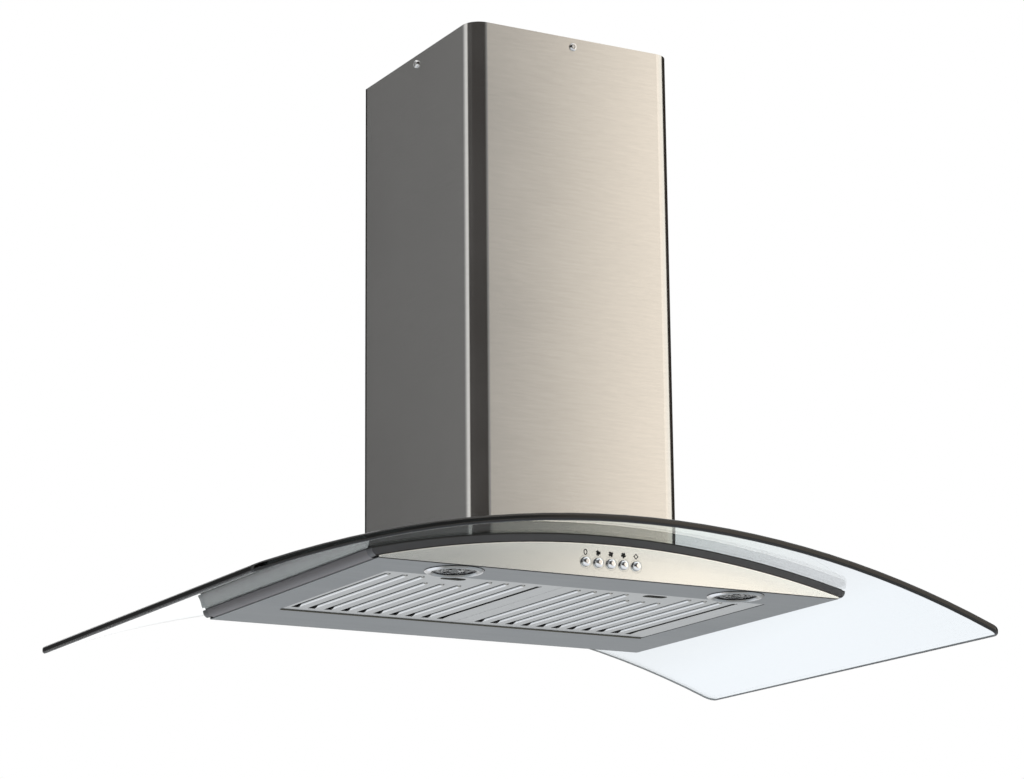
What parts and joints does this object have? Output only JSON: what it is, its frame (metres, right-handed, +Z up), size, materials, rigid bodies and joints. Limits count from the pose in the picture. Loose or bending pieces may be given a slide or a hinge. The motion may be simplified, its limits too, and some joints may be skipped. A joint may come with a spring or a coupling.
{
  "type": "curved glass range hood",
  "caption": "Island range hood: arched glass canopy over a slim metal body, square chimney, push buttons, lamps, tilting grease filters and a duct fan.",
  "frame": {"origin": "centre of the ceiling plate's four bolt holes, in the plane of the ceiling, on the chimney's axis", "axes": "+Z up into the ceiling, +Y away from the side with the push buttons, X along the glass with +X on the right when the buttons are faced"},
  "size_m": [0.9, 0.588, 0.6675],
  "materials": {
    "chimney_steel": "brushed along the chimney",
    "body_steel": "fine brushed",
    "filter_aluminium": "satin",
    "canopy_glass": "clear, toughened, bent",
    "lens_glass": "clear",
    "bulb_glass": "faceted reflector",
    "trim_paint": "charcoal satin",
    "side_trim_paint": "dark grey satin",
    "seal_rubber": "matt",
    "galvanised_sheet": "galvanised",
    "fastener_zinc": "zinc plated",
    "polished_chrome": "polished",
    "lamp_can_aluminium": "spun, bright inside",
    "scroll_plastic": "moulded black",
    "flap_plastic": "moulded grey",
    "motor_paint": "dark grey",
    "switch_plastic": "moulded black",
    "latch_plastic": "moulded dark grey",
    "terminal_plastic": "moulded pale grey",
    "capacitor_shell": "drawn can"
  },
  "bodies": {
    "hood": {"chimney_front_cover": "chimney_steel", "chimney_rear_cover": "chimney_steel", "front_panel": "body_steel", "rear_panel": "body_steel", "canopy_tray": "body_steel", "glass_canopy": "canopy_glass", "lamp_lens_left": "lens_glass", "lamp_lens_right": "lens_glass", "lamp_bulb_left": "bulb_glass", "lamp_bulb_right": "bulb_glass", "front_trim": "trim_paint", "rear_trim": "trim_paint", "left_trim": "side_trim_paint", "right_trim": "side_trim_paint", "glass_seal": "seal_rubber", "glass_gasket_top": "seal_rubber", "glass_gasket_bottom": "seal_rubber", "canopy_deck": "galvanised_sheet", "spacer_frame": "galvanised_sheet", "blower_box": "galvanised_sheet", "duct_collar": "galvanised_sheet", "ceiling_plate": "galvanised_sheet", "motor_bracket": "galvanised_sheet", "support_post_front_left": "galvanised_sheet", "support_post_front_right": "galvanised_sheet", "support_post_rear_left": "galvanised_sheet", "support_post_rear_right": "galvanised_sheet", "glass_bolts": "fastener_zinc", "glass_nuts": "fastener_zinc", "body_nuts": "fastener_zinc", "post_bolts": "fastener_zinc", "chimney_screws": "fastener_zinc", "flap_pin": "fastener_zinc", "lamp_bezel_left": "polished_chrome", "lamp_bezel_right": "polished_chrome", "lamp_housing_left": "lamp_can_aluminium", "lamp_housing_right": "lamp_can_aluminium", "scroll_left": "scroll_plastic", "scroll_right": "scroll_plastic", "motor": "motor_paint", "switch_block": "switch_plastic", "terminal_box": "terminal_plastic", "terminal_box_lid": "terminal_plastic", "capacitor": "capacitor_shell"},
    "impeller": {"impeller": "galvanised_sheet", "motor_shaft": "fastener_zinc"},
    "flap_left": {"flap_left": "flap_plastic"},
    "flap_right": {"flap_right": "flap_plastic"},
    "filter_left": {"filter_frame_left": "filter_aluminium", "filter_baffles_left": "filter_aluminium"},
    "filter_right": {"filter_frame_right": "filter_aluminium", "filter_baffles_right": "filter_aluminium"},
    "latch_left": {"filter_latch_left": "latch_plastic"},
    "latch_right": {"filter_latch_right": "latch_plastic"},
    "button_off": {"button_off": "polished_chrome"},
    "button_low": {"button_low": "polished_chrome"},
    "button_medium": {"button_medium": "polished_chrome"},
    "button_high": {"button_high": "polished_chrome"},
    "button_light": {"button_light": "polished_chrome"}
  },
  "joints": [
    {"name": "impeller_spin", "type": "hinge", "parent": "hood", "child": "impeller", "pos_m": [0, -0.03, -0.452], "axis": [1, 0, 0], "continuous": true},
    {"name": "flap_left_swing", "type": "hinge", "parent": "hood", "child": "flap_left", "pos_m": [0, 0, -0.2685], "axis": [0, 1, 0], "range_deg": [0, 75]},
    {"name": "flap_right_swing", "type": "hinge", "parent": "hood", "child": "flap_right", "pos_m": [0, 0, -0.2685], "axis": [0, -1, 0], "range_deg": [0, 75]},
    {"name": "filter_left_tilt", "type": "hinge", "parent": "hood", "child": "filter_left", "pos_m": [0, 0.1173, -0.6276], "axis": [1, 0, 0], "range_deg": [0, 60]},
    {"name": "filter_right_tilt", "type": "hinge", "parent": "hood", "child": "filter_right", "pos_m": [0, 0.1173, -0.6276], "axis": [1, 0, 0], "range_deg": [0, 60]},
    {"name": "latch_left_slide", "type": "slide", "parent": "filter_left", "child": "latch_left", "axis": [0, 1, 0], "range_m": [0, 0.005], "stiffness_N_per_m": 300, "springref_m": -0.003},
    {"name": "latch_right_slide", "type": "slide", "parent": "filter_right", "child": "latch_right", "axis": [0, 1, 0], "range_m": [0, 0.005], "stiffness_N_per_m": 300, "springref_m": -0.003},
    {"name": "button_off_press", "type": "slide", "parent": "hood", "child": "button_off", "axis": [0, 1, 0], "range_m": [0, 0.003], "stiffness_N_per_m": 400, "springref_m": -0.002},
    {"name": "button_low_press", "type": "slide", "parent": "hood", "child": "button_low", "axis": [0, 1, 0], "range_m": [0, 0.003], "stiffness_N_per_m": 400, "springref_m": -0.002},
    {"name": "button_medium_press", "type": "slide", "parent": "hood", "child": "button_medium", "axis": [0, 1, 0], "range_m": [0, 0.003], "stiffness_N_per_m": 400, "springref_m": -0.002},
    {"name": "button_high_press", "type": "slide", "parent": "hood", "child": "button_high", "axis": [0, 1, 0], "range_m": [0, 0.003], "stiffness_N_per_m": 400, "springref_m": -0.002},
    {"name": "button_light_press", "type": "slide", "parent": "hood", "child": "button_light", "axis": [0, 1, 0], "range_m": [0, 0.003], "stiffness_N_per_m": 400, "springref_m": -0.002}
  ]
}
